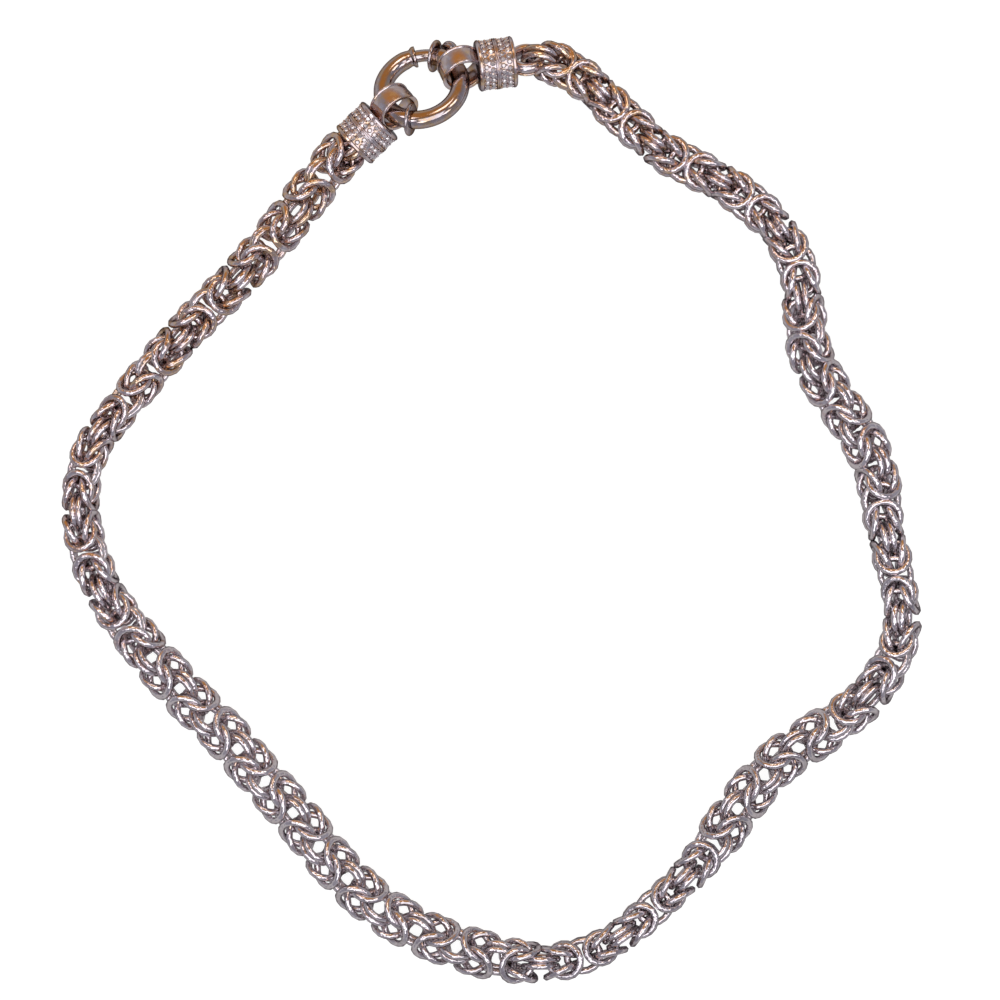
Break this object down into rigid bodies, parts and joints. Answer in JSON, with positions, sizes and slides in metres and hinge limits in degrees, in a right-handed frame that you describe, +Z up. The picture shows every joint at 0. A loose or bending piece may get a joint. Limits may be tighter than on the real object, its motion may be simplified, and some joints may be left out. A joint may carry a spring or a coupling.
{
  "type": "byzantine chain necklace with spring ring clasp",
  "caption": "Necklace of byzantine-woven round wire links, closed by a large spring ring clasp that passes through the bails of pave-set end barrels, lying on a table.",
  "frame": {"origin": "centre of the box around the necklace, on the surface that it lies on", "axes": "+Z up from the surface; +Y towards the clasp, along the necklace's longer side; +X to the right as seen from above with the clasp at the far side"},
  "size_m": [0.1535, 0.1687, 0.0114],
  "materials": {
    "chain_silver": "polished",
    "clasp_silver": "polished",
    "stone": "polished"
  },
  "bodies": {
    "root": {"chain": "chain_silver", "left_barrel": "clasp_silver", "right_barrel": "clasp_silver", "left_stones": "stone", "right_stones": "stone", "clasp_ring": "clasp_silver"},
    "bolt": {"clasp_bolt": "clasp_silver"}
  },
  "joints": [
    {"name": "bolt_slide", "type": "hinge", "parent": "root", "child": "bolt", "pos_m": [-0.0124, 0.075, 0.00562], "axis": [0.1792, -0.4668, -0.866], "range_deg": [0, 27], "stiffness_Nm_per_rad": 0.02}
  ]
}
